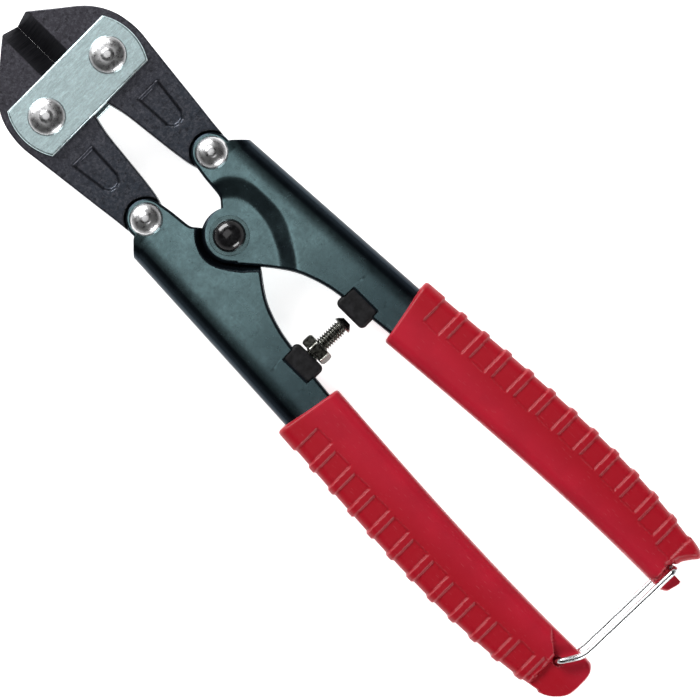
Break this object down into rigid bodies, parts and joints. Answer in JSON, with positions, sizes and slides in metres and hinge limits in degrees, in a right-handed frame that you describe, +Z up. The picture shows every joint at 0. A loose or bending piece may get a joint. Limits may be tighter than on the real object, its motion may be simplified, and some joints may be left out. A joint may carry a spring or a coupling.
{
  "type": "bolt cutters",
  "caption": "Small compound-action bolt cutters with riveted jaws and strap plates, channel handles in red sleeves, a stop screw and a wire bail that latches them shut.",
  "frame": {"origin": "centre of the tool's plan box, on the surface that it lies on", "axes": "+Y toward the cutting nose, +X toward the right handle seen from above with the nose up, +Z up through the main pivot"},
  "size_m": [0.0578, 0.2102, 0.0189],
  "materials": {
    "black_oxide": "black oxide, satin",
    "blued_steel": "blued black, semi-gloss",
    "zinc_plate": "zinc plated, satin",
    "bright_rivet": "polished",
    "black_rivet": "black, glossy",
    "washer_steel": "plain steel, satin",
    "dark_zinc": "dark zinc, satin",
    "bright_wire": "bright nickel",
    "black_block": "black, matt",
    "red_grip": "moulded soft red vinyl, semi-gloss"
  },
  "bodies": {
    "left_handle": {"left_handle": "blued_steel", "left_grip": "red_grip", "screw_block": "black_block", "pivot_rivet": "black_rivet", "top_pivot_washer": "washer_steel", "bottom_pivot_washer": "washer_steel", "pivot_spacer": "washer_steel", "left_jaw_rivet": "bright_rivet", "left_jaw_bushing": "washer_steel"},
    "right_handle": {"right_handle": "blued_steel", "right_grip": "red_grip", "stop_block": "black_block", "right_jaw_rivet": "bright_rivet", "right_jaw_bushing": "washer_steel"},
    "left_jaw": {"left_jaw": "black_oxide"},
    "right_jaw": {"right_jaw": "black_oxide"},
    "straps": {"top_strap": "zinc_plate", "bottom_strap": "zinc_plate", "left_strap_rivet": "bright_rivet", "right_strap_rivet": "bright_rivet"},
    "bail": {"latch_bail": "bright_wire"},
    "stop_screw": {"stop_screw": "dark_zinc"},
    "lock_nut": {"lock_nut": "dark_zinc"}
  },
  "joints": [
    {"name": "handle_pivot", "type": "hinge", "parent": "left_handle", "child": "right_handle", "pos_m": [0, 0.03185, 0.00945], "axis": [0, 0, 1], "range_deg": [0, 35]},
    {"name": "left_jaw_pivot", "type": "hinge", "parent": "left_handle", "child": "left_jaw", "pos_m": [-0.0113, 0.04895, 0.00945], "axis": [0, 0, 1], "range_deg": [0, 27]},
    {"name": "right_jaw_pivot", "type": "hinge", "parent": "right_handle", "child": "right_jaw", "pos_m": [0.0113, 0.04895, 0.00945], "axis": [0, 0, -1], "range_deg": [0, 27]},
    {"name": "strap_pivot", "type": "hinge", "parent": "left_jaw", "child": "straps", "pos_m": [-0.0105, 0.08325, 0.00945], "axis": [0, 0, -1], "range_deg": [0, 9.5]},
    {"name": "bail_pivot", "type": "hinge", "parent": "left_handle", "child": "bail", "pos_m": [-0.0175, -0.09705, 0.00945], "axis": [0, 0, -1], "range_deg": [0, 140]},
    {"name": "screw_advance", "type": "slide", "parent": "left_handle", "child": "stop_screw", "axis": [0.9994, -0.0349, 0], "range_m": [-0.005, 0.0006]},
    {"name": "nut_turn", "type": "hinge", "parent": "left_handle", "child": "lock_nut", "pos_m": [-0.00477, -0.00268, 0.00945], "axis": [0.9994, -0.0349, 0], "continuous": true}
  ],
  "couplings": [
    {"joint": "left_jaw_pivot", "follows": "handle_pivot", "ratio": 0.77109},
    {"joint": "right_jaw_pivot", "follows": "handle_pivot", "ratio": 0.77109},
    {"joint": "strap_pivot", "follows": "handle_pivot", "ratio": 0.27109},
    {"joint": "bail_pivot", "follows": "handle_pivot", "ratio": 4}
  ]
}
